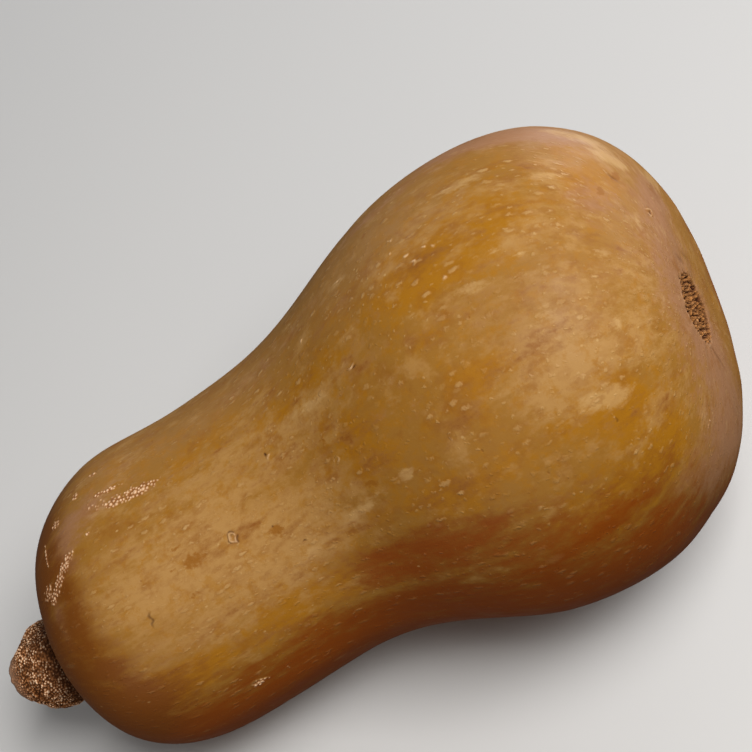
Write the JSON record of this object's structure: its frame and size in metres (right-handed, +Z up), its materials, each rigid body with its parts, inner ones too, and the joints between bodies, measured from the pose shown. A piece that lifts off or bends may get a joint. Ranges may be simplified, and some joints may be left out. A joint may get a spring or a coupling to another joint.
{
  "type": "butternut squash",
  "caption": "Whole butternut squash lying on its side: a stout neck, a round bulb with a corky blossom scar, and a short cut stem.",
  "frame": {"origin": "on the surface the squash lies on, under the middle of its bounding box", "axes": "+X along the squash from its stem to its blossom end, +Z up"},
  "size_m": [0.2168, 0.1194, 0.1205],
  "materials": {
    "rind": "satin",
    "stem_cork": "matte"
  },
  "bodies": {
    "root": {"fruit": "rind", "stem": "stem_cork"}
  },
  "joints": []
}
